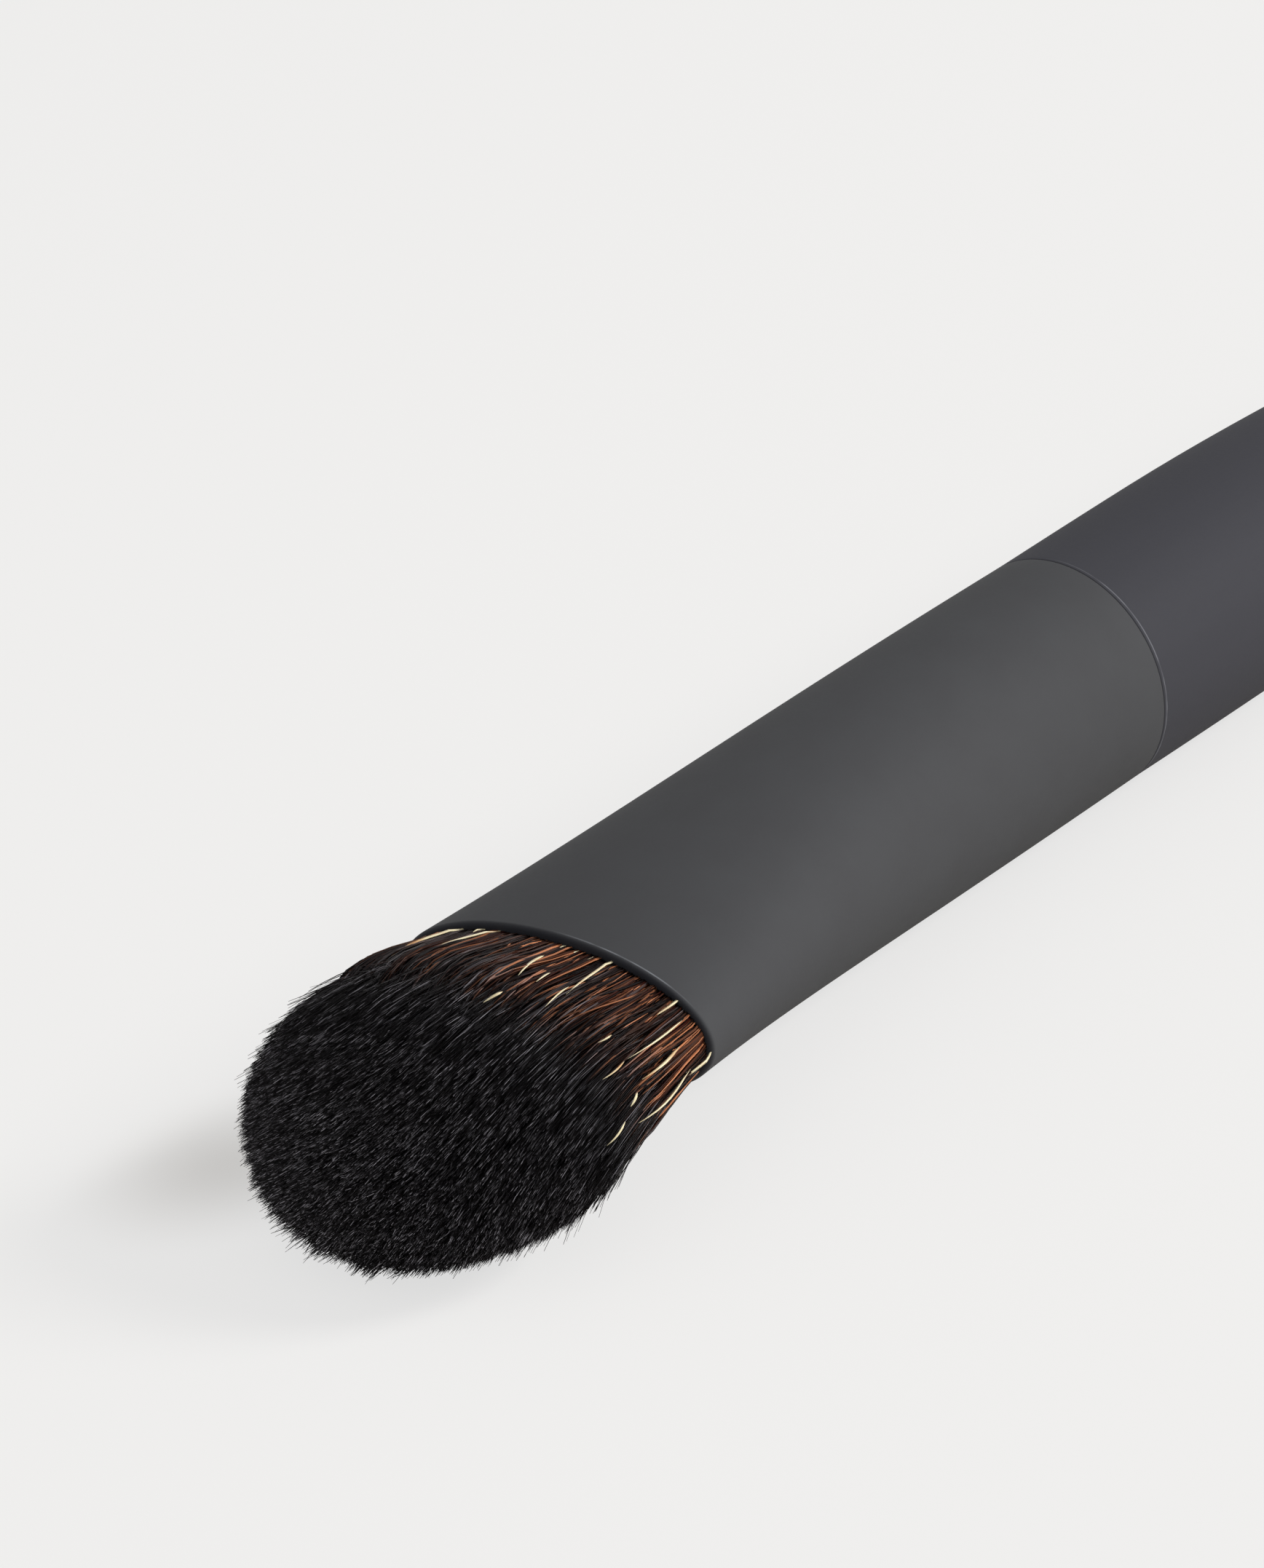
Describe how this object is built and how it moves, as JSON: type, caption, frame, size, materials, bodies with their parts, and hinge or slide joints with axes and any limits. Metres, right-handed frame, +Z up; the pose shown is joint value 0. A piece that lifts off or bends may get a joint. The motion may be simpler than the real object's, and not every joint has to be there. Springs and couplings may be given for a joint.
{
  "type": "concealer brush",
  "caption": "Small flat-oval make-up brush: a domed black hair tuft in a pressed metal ferrule on a slim turned handle.",
  "frame": {"origin": "bottom centre of the bounding box: on the surface that the brush lies on, under the middle of its length", "axes": "+X along the brush from tuft to butt, +Y across the flat of the tuft, +Z up, square to the flat of the ferrule's mouth"},
  "size_m": [0.1444, 0.0142, 0.0088],
  "materials": {
    "ferrule_finish": "matte dark grey soft-touch lacquer",
    "handle_finish": "matte dark grey soft-touch lacquer on turned wood",
    "hair": "fine black hair with russet and cream hairs at the root",
    "resin": "clear amber resin",
    "thread": "undyed cotton thread",
    "glue": "set white glue"
  },
  "bodies": {
    "root": {"ferrule": "ferrule_finish", "handle": "handle_finish", "hair_tuft": "hair", "root_resin": "resin", "binding_thread": "thread", "joint_glue": "glue"}
  },
  "joints": []
}
